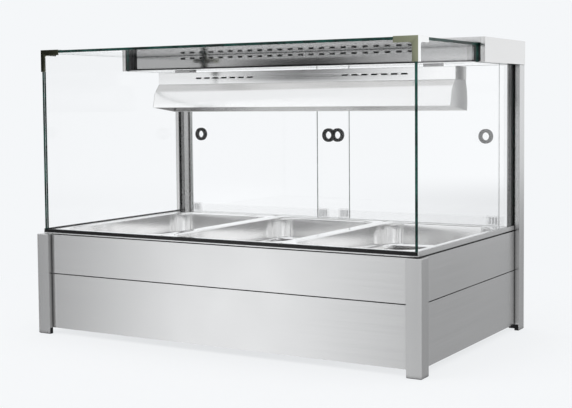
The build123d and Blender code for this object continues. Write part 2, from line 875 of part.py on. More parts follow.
def corner_bracket():
    """Right front clip: a plate on the front glass, one on the side and a cap over them."""
    top_z = glass_top_z
    post_z = top_z - bracket_post_drop
    arm_z = top_z - bracket_arm_height
    front_y = (glass_y - bracket_plate, glass_y)
    edge_x = body_x - bracket_post_width
    plate = slab((edge_x, body_x), front_y, (post_z, top_z))
    plate += slab((body_x - bracket_front_arm, body_x), front_y, (arm_z, top_z))
    inner = plate.edges().filter_by(Axis.Y).sort_by_distance((edge_x, glass_y, arm_z))[0]
    plate = fillet(inner, bracket_fillet)
    side_x = (glass_x, glass_x + bracket_plate)
    edge_y = glass_y - bracket_plate + bracket_post_width
    wing = slab(side_x, (glass_y, edge_y), (post_z, top_z))
    wing += slab(side_x, (glass_y, glass_y - bracket_plate + bracket_side_arm), (arm_z, top_z))
    inner = wing.edges().filter_by(Axis.X).sort_by_distance((glass_x, edge_y, arm_z))[0]
    wing = fillet(inner, bracket_fillet)
    cap = slab((body_x - bracket_front_arm, body_x), (front_y[0], edge_y), (top_z, top_z + bracket_cap))
    cap += slab((edge_x, body_x), (front_y[0], front_y[0] + bracket_side_arm), (top_z, top_z + bracket_cap))
    return plate + wing + cap


def corner_brackets():
    right = corner_bracket()
    return right + left(right)


# Header

def header_shell():
    """Lip over the glass, top and back, folded from one sheet."""
    inner = header_sheet
    lip_z = (glass_top_z + glass_joint, header_top_z)
    lip = slab((-fold_x, fold_x), (header_front_y, header_front_y + inner), lip_z)
    top = slab((-leg_x, leg_x), (header_front_y, leg_y), (header_top_z - inner, header_top_z))
    back = slab((-leg_x, leg_x), (leg_y - inner, leg_y), (header_z, header_top_z))
    front_cut = slab((fold_x, leg_x), (header_front_y, header_front_y + inner), (header_z, header_top_z))
    return lip + top + back - front_cut - left(front_cut)


def header_base():
    """Bottom plate of the header, with the slot for the doors' upper track."""
    run = (header_front_y + header_sheet, leg_y - header_sheet)
    z = (header_z, header_z + header_sheet)
    plate = slab((-leg_x, leg_x), run, z)
    plate += slab((-fold_x, fold_x), (header_front_y, run[0]), z)
    return plate - slab((-top_track_x, top_track_x), (track_y, track_y + track_depth), z)


def header_fascia():
    """Slotted front of the header, set back under the glass."""
    y = header_front_y + fascia_setback
    reach = fold_x - holder_width
    top_z = top_glass_z - glass_joint
    fascia = slab((-reach, reach), (y, y + header_sheet), (header_z + header_sheet, top_z))
    shelf_y = (y, header_front_y + top_glass_engagement)
    fascia += slab((-reach, reach), shelf_y, (top_z - header_sheet, top_z))
    count = 1 + int(2 * (reach - fascia_slot_margin) / fascia_slot_pitch)
    slot_z = top_glass_z - fascia_slot_drop
    slots = []
    for i in range(count):
        x = (i - (count - 1) / 2) * fascia_slot_pitch
        half = fascia_slot_width / 2
        tall = fascia_slot_height / 2
        slot = slab((x - half, x + half), (y, y + header_sheet), (slot_z - tall, slot_z + tall))
        slots.append(fillet(slot.edges().filter_by(Axis.Y), slot_corner))
    for slot in slots:
        fascia -= slot
    return fascia


def header_end_caps():
    """End plates of the header, each with a return round its front edge."""
    outer = leg_x + header_cap_overhang
    plate = slab((leg_x, outer), (header_front_y, leg_y), (header_z, header_top_z))
    fold_y = (header_front_y, header_front_y + header_sheet)
    fold = slab((fold_x, leg_x), fold_y, (header_z, header_top_z))
    right = plate + fold
    return right + left(right)


def glass_holders():
    """Blocks at the ends of the fascia that the top glass lies on."""
    run = (header_front_y + header_sheet, header_front_y + top_glass_engagement)
    block = slab((fold_x - holder_width, fold_x), run, (header_z + header_sheet, top_glass_z))
    return block + left(block)


def glass_channels():
    """Inner part of each back post, grooved for the side glass."""
    outer = slab((post_inner_x, glass_x), (channel_front_y, body_y), (deck_z, header_z))
    groove_y = (channel_front_y, groove_end_y + glass_joint)
    groove = slab((glass_x - glass_sheet - glass_joint, glass_x), groove_y, (deck_z, header_z))
    right = outer - groove
    return right + left(right)


# Sliding doors

def track_face():
    """Section of the track, open upward, with a channel for each door."""
    y = track_y
    wide = track_depth
    section = Pos(y + wide / 2, track_floor / 2) * Rectangle(wide, track_floor)
    for i in range(3):
        wall_y = y + track_wall / 2 + i * (track_wall + door_slot)
        section += Pos(wall_y, track_height / 2) * Rectangle(track_wall, track_height)
    return section


def door_track_bottom():
    return Pos(0, 0, deck_z) * along_x(track_face(), track_x)


def door_track_top():
    """Upper track, deep enough to lift the doors out of the lower one."""
    top_z = header_z + top_track_depth
    run = (-top_track_x, top_track_x)
    track = slab(run, (track_y, track_y + track_depth), (header_z, top_z))
    for i in range(2):
        slot_y = track_y + track_wall + i * (track_wall + door_slot)
        track -= slab(run, (slot_y, slot_y + door_slot), (header_z, top_z - track_floor))
    return track


def door_buffers():
    """Stops at both ends of the lower track."""
    block = slab((track_x, track_x + buffer_width), (track_y, track_y + track_depth),
                 (deck_z, deck_z + track_height + buffer_rise))
    return block + left(block)


def door_places(side):
    """(x range, middle y) of a closed door: -1 is left, 1 is right."""
    near = -side * door_overlap / 2
    far = side * door_edge_x
    y = rear_door_y if side < 0 else front_door_y
    return sorted((near, far)), y


def ring_places(side):
    """X of the door's two finger rings, each beside one upright edge."""
    span, y = door_places(side)
    return (span[0] + ring_edge, span[1] - ring_edge)


def door_pane(side):
    span, y = door_places(side)
    pane = slab(span, (y - door_sheet / 2, y + door_sheet / 2), (door_z, door_z + door_height))
    for x in ring_places(side):
        pane -= rod_y(ring_body / 2 + fit_gap, (y - door_sheet / 2, y + door_sheet / 2), x, ring_z)
    return pane


def door_rings(side):
    """Finger rings, each a sleeve through the pane with a lip on both faces."""
    span, y = door_places(side)
    rings = []
    for x in ring_places(side):
        half = door_sheet / 2
        ring = rod_y(ring_body / 2, (y - half, y + half), x, ring_z)
        for way in (-1, 1):
            face = sorted((y + way * half, y + way * (half + ring_lip)))
            ring += rod_y(ring_outer / 2, face, x, ring_z)
        outer_rims = ring.edges().filter_by(GeomType.CIRCLE).sort_by(Axis.Y)
        ring = fillet([outer_rims[0], outer_rims[-1]], ring_curve)
        reach = half + ring_lip
        ring -= rod_y(ring_hole / 2, (y - reach, y + reach), x, ring_z)
        rings.append(ring)
    return joined(rings)


def door_glides(side):
    """Slotted shoes that hold the pane's lower corners in the track."""
    span, y = door_places(side)
    base_z = deck_z + track_floor + glide_floor_gap
    shoes = []
    for x in ((span[0], span[0] + glide_width), (span[1] - glide_width, span[1])):
        half = glide_thickness / 2
        shoe = slab(x, (y - half, y + half), (base_z, base_z + glide_height))
        shoe -= slab(x, (y - door_sheet / 2, y + door_sheet / 2), (door_z, base_z + glide_height))
        for i in range(glide_slot_count):
            middle = x[0] + glide_width * (i + 1) / (glide_slot_count + 1)
            slot_x = (middle - glide_slot_width / 2, middle + glide_slot_width / 2)
            slot_top = base_z + glide_height - glide_slot_margin
            for way in (-1, 1):
                face = sorted((y + way * half, y + way * (half - glide_slot_depth)))
                shoe -= slab(slot_x, face, (slot_top - glide_slot_height, slot_top))
        shoes.append(shoe)
    return joined(shoes)


# Lamps

def lamp_box():
    """Box over the hood, slotted in front, with its two hangers."""
    y = (lamp_front_y, lamp_back_y)
    z = (lamp_base_z, lamp_top_z)
    box = slab((-lamp_x, lamp_x), y, z)
    inner_y = (y[0] + lamp_sheet, y[1] - lamp_sheet)
    inner_x = lamp_x - lamp_sheet
    box -= slab((-inner_x, inner_x), inner_y, (z[0], z[1] - lamp_sheet))
    for bay in (-lamp_bay_x, lamp_bay_x):
        for i in range(lamp_slot_count):
            x = bay + (i - (lamp_slot_count - 1) / 2) * lamp_slot_pitch
            half = lamp_slot_width / 2
            tall = lamp_slot_height / 2
            middle = (z[0] + z[1]) / 2
            slot = slab((x - half, x + half), (y[0], inner_y[0]), (middle - tall, middle + tall))
            box -= fillet(slot.edges().filter_by(Axis.Y), slot_corner)
    hanger_y = (lamp_axis_y - hanger_depth / 2, lamp_axis_y + hanger_depth / 2)
    for side in (-1, 1):
        end = side * (lamp_x - hanger_inset)
        box += slab((end - hanger_width / 2, end + hanger_width / 2), hanger_y, (z[1], header_z))
    return box


def hood_front_line():
    crease = (lamp_front_y - hood_front_flare, lamp_base_z - hood_upper_drop)
    lip = (crease[0] - hood_lip_flare, crease[1] - hood_lower_drop)
    return Polyline((lamp_front_y, lamp_base_z), crease, lip)


def hood_back_line():
    y = lamp_back_y - hood_back_step
    neck = (y, lamp_base_z - hood_back_neck)
    belly = (y + hood_back_flare, lamp_base_z - hood_back_drop)
    tail = (y + hood_back_flare - hood_back_tuck, lamp_base_z - hood_back_drop - hood_tail_drop)
    return Line((y, lamp_base_z), neck) + ThreePointArc(neck, belly, tail)


def lamp_hood():
    """Front and back reflector sheets that hang from the lamp box."""
    reach = lamp_x - lamp_sheet
    sharp = Kind.INTERSECTION
    front_face = make_face(offset(hood_front_line(), amount=lamp_sheet, side=Side.LEFT, kind=sharp))
    back_face = make_face(offset(hood_back_line(), amount=lamp_sheet, side=Side.RIGHT, kind=sharp))
    hood = along_x(front_face, reach) + along_x(back_face, reach)
    above = slab((-reach, reach), (lamp_front_y, lamp_back_y), (lamp_base_z, lamp_top_z))
    return hood - above


def lamp_end_caps():
    """Plates that close the hood's two ends."""
    front_edge = hood_front_line()
    back_edge = hood_back_line()
    outline = front_edge + back_edge
    outline += Line(front_edge @ 1, back_edge @ 1) + Line(front_edge @ 0, back_edge @ 0)
    plate = extrude(Plane.YZ * make_face(outline), amount=lamp_sheet)
    right = Pos(lamp_x - lamp_sheet, 0, 0) * plate
    return right + left(right)


def heat_lamps():
    """Quartz tubes, one in each half of the hood."""
    tubes = []
    for bay in (-lamp_bay_x, lamp_bay_x):
        half = lamp_tube_length / 2
        tubes.append(rod_x(lamp_tube_diameter / 2, (bay - half, bay + half), lamp_axis_y, lamp_axis_z))
    return joined(tubes)


def lamp_sockets():
    """Ceramic end holders, each on a strap from the lamp box."""
    sockets = []
    strap_top = lamp_top_z - lamp_sheet
    for bay in (-lamp_bay_x, lamp_bay_x):
        for side in (-1, 1):
            mouth = bay + side * (lamp_tube_length / 2 - socket_engagement)
            far = mouth + side * socket_length
            x = sorted((mouth, far))
            y = (lamp_axis_y - socket_depth / 2, lamp_axis_y + socket_depth / 2)
            socket = slab(x, y, (lamp_axis_z - socket_height / 2, lamp_axis_z + socket_height / 2))
            strap = sorted((far, far - side * socket_strap))
            socket += slab(strap, y, (lamp_axis_z, strap_top))
            bore = sorted((mouth, mouth + side * socket_engagement))
            socket -= rod_x(lamp_tube_diameter / 2 + fit_gap, bore, lamp_axis_y, lamp_axis_z)
            sockets.append(socket)
    return joined(sockets)


# Pans

def food_pan(x):
    """Deep-drawn pan with tapered sides and a rim that is folded down at its edge."""
    rim_outer = RectangleRounded(pan_width, pan_length, pan_edge_corner)
    edge = pan_edge_corner - pan_sheet
    rim_inner = RectangleRounded(pan_width - 2 * pan_sheet, pan_length - 2 * pan_sheet, edge)
    rim = extrude(rim_outer, amount=-pan_edge_drop)
    rim -= Pos(0, 0, -pan_sheet) * extrude(rim_inner, amount=-pan_edge_drop)
    wide = pan_width - 2 * pan_rim
    long = pan_length - 2 * pan_rim
    down = (0, 0, -1)
    outer = extrude(RectangleRounded(wide, long, pan_corner), amount=pan_depth, dir=down, taper=pan_taper)
    outer = fillet(outer.faces().sort_by(Axis.Z)[0].edges(), pan_floor_curve)
    mouth = RectangleRounded(wide - 2 * pan_sheet, long - 2 * pan_sheet, pan_corner - pan_sheet)
    inner = extrude(mouth, amount=pan_depth - pan_sheet, dir=down, taper=pan_taper)
    inner = fillet(inner.faces().sort_by(Axis.Z)[0].edges(), pan_floor_curve - pan_sheet)
    middle_y = (pan_front_y + pan_back_y) / 2
    return Pos(x, middle_y, pan_top_z) * (rim + outer - inner)


def save(name, part):
    export_step(part, "parts/" + name + ".step")


# Write every piece

back_leg = leg(header_z)
front_leg = front(leg(leg_top_z))
save("leg_front_left", left(front_leg))
save("leg_front_right", front_leg)
save("post_back_left", left(back_leg))
save("post_back_right", back_leg)
save("feet", feet())

lower_z = (floor_clearance, lower_top_z)
upper_z = (upper_base_z, upper_top_z)
front_return = deck_front_y + body_y
save("front_panel_lower", front_panel(lower_z, panel_return))
save("front_panel_upper", front_panel(upper_z, front_return))
side_lower = side_panel(lower_z, panel_return, panel_return)
side_upper = side_panel(upper_z, rail_channel, front_return)
save("side_panel_left_lower", left(side_lower))
save("side_panel_left_upper", left(side_upper))
save("side_panel_right_lower", side_lower)
save("side_panel_right_upper", side_upper)
save("control_panel", control_panel())
save("rear_panel", rear_panel())
save("panel_screws", panel_screws())
save("base_tray", base_tray())

save("deck_frame", deck_frame())
save("deck_rails", deck_rails())
save("divider_bars", divider_bars())
save("water_tank", water_tank())
save("heating_elements", heating_elements())
save("drain_valve", drain_valve())
save("drain_lever", drain_lever())

save("thermostat", thermostat())
save("thermostat_knob", thermostat_knob())
save("switch_housings", switch_housings())
save("rocker_power", rocker(switch_places[0]))
save("rocker_lamps", rocker(switch_places[1]))
save("indicator_lamps", indicator_lamps())
save("cable_gland", cable_gland())
save("terminal_block", terminal_block())

save("front_glass", front_glass())
save("side_glass_left", left(side_glass()))
save("side_glass_right", side_glass())
save("top_glass", top_glass())
save("front_glass_seal", front_glass_seal())
save("glass_seals", glass_seals())
save("corner_brackets", corner_brackets())

save("header_shell", header_shell())
save("header_base", header_base())
save("header_fascia", header_fascia())
save("header_end_caps", header_end_caps())
save("glass_holders", glass_holders())
save("glass_channels", glass_channels())

save("door_track_bottom", door_track_bottom())
save("door_track_top", door_track_top())
save("door_buffers", door_buffers())
for side, name in ((-1, "door_left"), (1, "door_right")):
    save(name, door_pane(side))
    save(name + "_rings", door_rings(side))
    save(name + "_glides", door_glides(side))

save("lamp_box", lamp_box())
save("lamp_hood", lamp_hood())
save("lamp_end_caps", lamp_end_caps())
save("heat_lamps", heat_lamps())
save("lamp_sockets", lamp_sockets())

pan_names = ["pan_left", "pan_centre", "pan_right"]
for i, x in enumerate(pan_places()):
    name = pan_names[i] if i < len(pan_names) else "pan_" + str(i + 1)
    save(name, food_pan(x))
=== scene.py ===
import math

import bmesh
import bpy
from mathutils import Matrix, Vector


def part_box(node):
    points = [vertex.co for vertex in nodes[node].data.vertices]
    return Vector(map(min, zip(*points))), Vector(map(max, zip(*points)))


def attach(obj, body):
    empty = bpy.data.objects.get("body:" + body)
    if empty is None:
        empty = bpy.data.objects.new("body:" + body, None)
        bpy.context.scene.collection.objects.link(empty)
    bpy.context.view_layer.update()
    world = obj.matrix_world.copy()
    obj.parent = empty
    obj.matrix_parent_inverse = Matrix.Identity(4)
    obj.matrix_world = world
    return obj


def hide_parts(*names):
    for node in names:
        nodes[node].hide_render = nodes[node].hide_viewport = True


# Countertop hot-food bar: three food pans, a square glass front, a heat-lamp gantry
# and two sliding doors on the serving side. Metres, the customer's side at -Y.

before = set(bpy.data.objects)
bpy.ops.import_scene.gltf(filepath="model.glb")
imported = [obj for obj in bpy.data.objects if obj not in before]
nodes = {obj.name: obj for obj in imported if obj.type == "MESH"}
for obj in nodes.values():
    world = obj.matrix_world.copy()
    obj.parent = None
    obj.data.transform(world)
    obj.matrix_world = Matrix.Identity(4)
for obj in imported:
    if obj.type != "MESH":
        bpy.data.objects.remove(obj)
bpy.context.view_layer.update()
scene = bpy.context.scene
print("frame loaded:", len(nodes), "nodes")


# Camera

cameraView = {
    "place": (1.46718, -2.43277, 0.56117),
    "yaw": 30.56,  # turned to the left of +Y, degrees
    "pitch": 3.272,  # downward
    "roll": -0.469,
    "lens": 72.90,
    "shiftX": -0.0090,
    "shiftY": -0.0600,
}


def makeCamera(v):
    yaw, pitch, roll = (math.radians(v[k]) for k in ("yaw", "pitch", "roll"))
    ahead = Vector((-math.sin(yaw) * math.cos(pitch), math.cos(yaw) * math.cos(pitch), -math.sin(pitch)))
    level = Vector((math.cos(yaw), math.sin(yaw), 0))
    above = level.cross(ahead)
    right = level * math.cos(roll) + above * math.sin(roll)
    up = above * math.cos(roll) - level * math.sin(roll)
    cam = bpy.data.objects.new("camera", bpy.data.cameras.new("camera"))
    cam.data.lens = v["lens"]
    cam.data.shift_x = v["shiftX"]
    cam.data.shift_y = v["shiftY"]
    cam.matrix_world = Matrix.Translation(v["place"]) @ Matrix((right, up, -ahead)).transposed().to_4x4()
    scene.collection.objects.link(cam)
    scene.camera = cam


makeCamera(cameraView)
scene.view_settings.view_transform = "Standard"
scene.cycles.transparent_max_bounces = 40  # a sight line crosses up to eight panes


# Shader maths

boxFade = 0.0002  # soft rim of a box in object space, metres


class Sock:  # an output socket whose operators add Math nodes
    def __init__(self, web, socket):
        self.web = web
        self.socket = socket

    def calc(self, operation, *values):
        return self.web.add("ShaderNodeMath", {"operation": operation}, dict(enumerate(values)))

    def __add__(self, other):
        return self.calc("ADD", self, other)

    def __sub__(self, other):
        return self.calc("SUBTRACT", self, other)

    def __mul__(self, other):
        return self.calc("MULTIPLY", self, other)

    def __truediv__(self, other):
        return self.calc("DIVIDE", self, other)

    def __abs__(self):
        return self.calc("ABSOLUTE", self)

    def step(self, low, high, start=0.0, end=1.0):  # soft step from start to end
        ends = {"Value": self, "From Min": low, "From Max": high, "To Min": start, "To Max": end}
        return self.web.add("ShaderNodeMapRange", {"interpolation_type": "SMOOTHSTEP"}, ends)


class Web:  # the node tree of a material or of the world
    def __init__(self, tree):
        self.tree = tree
        tree.nodes.clear()

    def add(self, kind, settings=None, inputs=None, out=0):
        node = self.tree.nodes.new(kind)
        for key, value in (settings or {}).items():
            if key == "stops":
                for i, (place, colour) in enumerate(value):
                    stops = node.color_ramp.elements
                    stop = stops[i] if i < len(stops) else stops.new(place)
                    stop.position = place
                    stop.color = (*colour, 1)
            elif key == "ramp":
                node.color_ramp.interpolation = value
            else:
                setattr(node, key, value)
        for key, value in (inputs or {}).items():
            if isinstance(value, Sock):
                self.tree.links.new(value.socket, node.inputs[key])
            else:
                node.inputs[key].default_value = value
        return Sock(self, node.outputs[out]) if node.outputs and out is not None else node

    def place(self, scale=(1, 1, 1)):  # object coordinates in metres, stretched
        here = self.add("ShaderNodeTexCoord", {}, {}, "Object")
        return self.add("ShaderNodeVectorMath", {"operation": "MULTIPLY"}, {0: here, 1: scale})

    def noise(self, scale, detail, rough):  # scale: waves per metre, one number or one per axis
        scale = scale if isinstance(scale, (tuple, list)) else (scale,) * 3
        inputs = {"Vector": self.place(scale), "Scale": 1.0, "Detail": detail, "Roughness": rough}
        return self.add("ShaderNodeTexNoise", {}, inputs)

    def facing(self, axis):  # 1 where the surface faces along the axis, either way
        normal = self.add("ShaderNodeNewGeometry", {}, {}, "True Normal")
        parts = self.add("ShaderNodeSeparateXYZ", {}, {0: normal}, None)
        return abs(Sock(self, parts.outputs[axis]))

    def blend(self, first, second, factor, how="MIX"):  # two colours
        first, second = ((*c, 1) if isinstance(c, tuple) else c for c in (first, second))
        settings = {"data_type": "RGBA", "blend_type": how}
        return self.add("ShaderNodeMix", settings, {0: factor, 6: first, 7: second}, 2)

    def within(self, low, high):  # 1 inside a box of object space
        parts = self.add("ShaderNodeSeparateXYZ", {}, {0: self.place()}, None)
        inside = 1.0
        for axis in range(3):
            middle, half = (low[axis] + high[axis]) / 2, (high[axis] - low[axis]) / 2
            off = abs(Sock(self, parts.outputs[axis]) - middle)
            inside = off.step(half - boxFade, half, 1.0, 0.0) * inside
        return inside

    def open(self, reach):  # 1 on open surfaces, falling to 0 in joints and corners within reach; it masks painted shade
        return self.add("ShaderNodeAmbientOcclusion", {"samples": 8}, {"Distance": reach}, "AO")

    def bump(self, height, distance, strength, over=None):
        inputs = {"Height": height, "Distance": distance, "Strength": strength}
        if over:
            inputs["Normal"] = over
        return self.add("ShaderNodeBump", {}, inputs)

    def principled(self, **values):
        named = {"colour": "Base Color", "rough": "Roughness", "metal": "Metallic",
                 "shine": "Specular IOR Level", "normal": "Normal"}
        inputs = {named[key]: value for key, value in values.items()}
        return self.add("ShaderNodeBsdfPrincipled", {}, inputs)

    def clear(self, colour=(1, 1, 1)):
        return self.add("ShaderNodeBsdfTransparent", {}, {"Color": (*colour, 1)})

    def mix(self, factor, first, second):
        return self.add("ShaderNodeMixShader", {}, {0: factor, 1: first, 2: second})

    def close(self, shader):
        self.add("ShaderNodeOutputMaterial", {}, {"Surface": shader})


def newMaterial(name):
    mat = bpy.data.materials.new(name)
    mat.use_nodes = True
    return mat, Web(mat.node_tree)


# Finishes

faceTurn = (0.5, 0.9)  # where a surface counts as turning to face an axis

steelLook = {
    "colour": (0.706, 0.700, 0.695),
    "rough": 0.24,
    "fine": (4, 900),  # brush lines: waves per metre along them and across them
    "broad": (1.5, 160),
    "fineShare": 0.6,
    "contrast": 1.6,
    "streakColour": 0.026,
    "streakRough": 0.06,
    "cloud": 7,
    "cloudRough": 0.05,
    "wave": 3.1,  # slight waviness of the sheet
    "waveHeight": 0.0012,
    "grainHeight": 0.00001,
    "bumpStrength": 0.25,
    # painted shade: joints and corners within jointReach are darkened in colour, by ambient occlusion
    "jointReach": 0.014,
    "jointPaintedShade": 0.30,
    "jointOpen": (0.30, 0.88),
    "unlit": (0.010, 0.010, 0.010),
}


def brushedSteel(name, along, colour=None, rough=None, streak=1.0, hollow=()):
    # along is the axis of the brush lines: 0, 1 or 2; hollow lists the boxes painted black as shade
    look = steelLook
    mat, web = newMaterial(name)
    colour = colour or look["colour"]
    rough = rough or look["rough"]
    fine = web.noise([look["fine"][i != along] for i in range(3)], 3.0, 0.6)
    broad = web.noise([look["broad"][i != along] for i in range(3)], 2.0, 0.5)
    cloud = web.noise(look["cloud"], 2.0, 0.5)
    streaks = (fine * look["fineShare"] + broad * (1 - look["fineShare"]) - 0.5) * streak
    spread = 2 * look["streakColour"]
    dark = tuple(c * (1 - spread) for c in colour)
    light = tuple(min(1, c * (1 + spread)) for c in colour)
    tone = web.blend(dark, light, streaks * look["contrast"] + 0.5)
    # painted shade: the tone darkens in joints and corners, from ambient occlusion
    shade = tuple(c * look["jointPaintedShade"] for c in colour)
    tone = web.blend(shade, tone, web.open(look["jointReach"]).step(*look["jointOpen"]))
    # painted shade: inside each box the tone turns to the unlit black
    for box in hollow:
        tone = web.blend(tone, look["unlit"], web.within(*box))
    roughness = streaks * look["streakRough"] + (cloud - 0.5) * look["cloudRough"] + rough
    wave = web.noise(look["wave"], 1.0, 0.4)
    sheet = web.bump(wave, look["waveHeight"], look["bumpStrength"])
    grain = web.bump(fine, look["grainHeight"], look["bumpStrength"] * streak, sheet)
    web.close(web.principled(colour=tone, rough=roughness, metal=1.0, normal=grain))
    return mat


satinLook = {
    "cloud": 9,
    "speck": 420,
    "tones": (0.96, 1.03),
    "cloudRough": 0.08,
    "speckRough": 0.05,
    "height": 0.000001,
    "strength": 0.2,
}


def satinSteel(name, colour, rough, sides=None):
    # drawn or bright-rolled sheet, with no brush lines; sides is a lighter colour painted on the faces along
    # X, a painted reflection
    look = satinLook
    mat, web = newMaterial(name)
    cloud = web.noise(look["cloud"], 3.0, 0.55)
    speck = web.noise(look["speck"], 2.0, 0.5)
    dark, light = (tuple(min(1, c * level) for c in colour) for level in look["tones"])
    tone = web.blend(dark, light, cloud)
    # painted reflection: faces along X take the lighter sides colour
    if sides:
        tone = web.blend(tone, sides, web.facing(0).step(*faceTurn))
    roughness = (cloud - 0.5) * look["cloudRough"] + (speck - 0.5) * look["speckRough"] + rough
    bump = web.bump(speck, look["height"], look["strength"])
    web.close(web.principled(colour=tone, rough=roughness, metal=1.0, normal=bump))
    return mat


plasticLook = {
    "cloud": 60,
    "speck": 1500,
    "cloudRough": 0.12,
    "speckRough": 0.08,
    "strength": 0.4,
}


def plastic(name, colour, rough, grain=0.00003, pale=1.35, shine=0.5):
    # grain is the height of its specks in metres; pale is how much lighter its cloudy parts are
    look = plasticLook
    mat, web = newMaterial(name)
    cloud = web.noise(look["cloud"], 3.0, 0.55)
    speck = web.noise(look["speck"], 2.0, 0.5)
    tone = web.blend(colour, tuple(min(1, c * pale) for c in colour), cloud)
    roughness = (cloud - 0.5) * look["cloudRough"] + (speck - 0.5) * look["speckRough"] + rough
    bump = web.bump(speck, grain, look["strength"])
    web.close(web.principled(colour=tone, rough=roughness, normal=bump, shine=shine))
    return mat


glassLook = {
    "edge": ((0.0008, 0.010, 0.0075), (0.013, 0.085, 0.066)),
    "topEdge": ((0.0006, 0.007, 0.0052), (0.008, 0.060, 0.047)),
    "doorEdge": ((0.10, 0.13, 0.12), (0.34, 0.38, 0.37)),
    "shine": 0.010,
    "grazing": 0.9,
    "faceRough": 0.02,
    "edgeRough": 0.3,
    "edgeShine": 0.2,
    "flow": 18,
    "fine": 140,
    "edgeHeight": 0.00002,
}


def paneGlass(name, axis, edgeTones):
    # clear over the faces along the axis, with a dark and a light tone at its ground edges
    look = glassLook
    mat, web = newMaterial(name)
    graze = web.add("ShaderNodeLayerWeight", {}, {"Blend": 0.5}, "Facing")
    # the same from both sides of a face
    fresnel = graze.calc("POWER", graze, 5.0) * look["grazing"] + look["shine"]
    mirror = web.add("ShaderNodeBsdfGlossy", {}, {"Color": (1, 1, 1, 1), "Roughness": look["faceRough"]})
    face = web.mix(fresnel, web.clear(), mirror)
    flow = web.noise(look["flow"], 3.0, 0.6)
    fine = web.noise(look["fine"], 2.0, 0.5)
    tone = web.blend(*edgeTones, (flow * 0.7 + fine * 0.3).step(0.38, 0.66))
    bump = web.bump(fine, look["edgeHeight"], 0.3)
    edge = web.principled(colour=tone, rough=look["edgeRough"], shine=look["edgeShine"], normal=bump)
    web.close(web.mix(web.facing(axis).step(*faceTurn, 1.0, 0.0), face, edge))
    return mat


quartzLook = {
    "clear": (0.93, 0.93, 0.92),
    "smoke": ((0.30, 0.30, 0.29), (0.42, 0.42, 0.41)),
    "rough": 0.05,
    "share": (0.10, 0.75),  # of its skin, face on and at its outline
}


def quartzGlass(name):  # lamp tube, clear with a gloss that grows towards its outline
    look = quartzLook
    mat, web = newMaterial(name)
    graze = web.add("ShaderNodeLayerWeight", {}, {"Blend": 0.5}, "Facing")
    smoke = web.noise((30, 90, 90), 2.0, 0.5)
    skin = web.principled(colour=web.blend(*look["smoke"], smoke), rough=look["rough"])
    web.close(web.mix(graze.step(0.1, 1.0, *look["share"]), web.clear(look["clear"]), skin))
    return mat


frostLook = {
    "cloud": 40,
    # painted shade: joints and corners within jointReach are darkened in colour, by ambient occlusion
    "jointReach": 0.006,
    "jointPaintedShade": 0.6,
    "jointOpen": (0.25, 0.9),
    "rough": 0.35,
    "height": 0.00005,
    "strength": 0.2,
}


def frostedPlastic(name, colour, clear):  # milky plastic; clear is the share of light let through
    look = frostLook
    mat, web = newMaterial(name)
    cloud = web.noise(look["cloud"], 2.0, 0.5)
    # painted shade in joints and corners, from ambient occlusion
    shade = tuple(c * look["jointPaintedShade"] for c in colour)
    body = web.blend(shade, colour, web.open(look["jointReach"]).step(*look["jointOpen"]))
    bump = web.bump(cloud, look["height"], look["strength"])
    solid = web.principled(colour=body, rough=look["rough"], normal=bump)
    web.close(web.mix((cloud - 0.5) * (1 - clear) + clear, solid, web.clear()))
    return mat


# Boxes painted black as shade: the insides of the header and the lamp box, and a painted shadow line along
# the header's lower fold
headerHollow = ((-0.4995, 0.0526, 0.6520), (0.4995, 0.300, 0.7070))
boxHollow = ((-0.4274, 0.0806, 0.6100), (0.4274, 0.1454, 0.6444))
lowerFoldShadow = ((-0.5200, 0.0300, 0.6490), (0.5200, 0.0535, 0.6568))

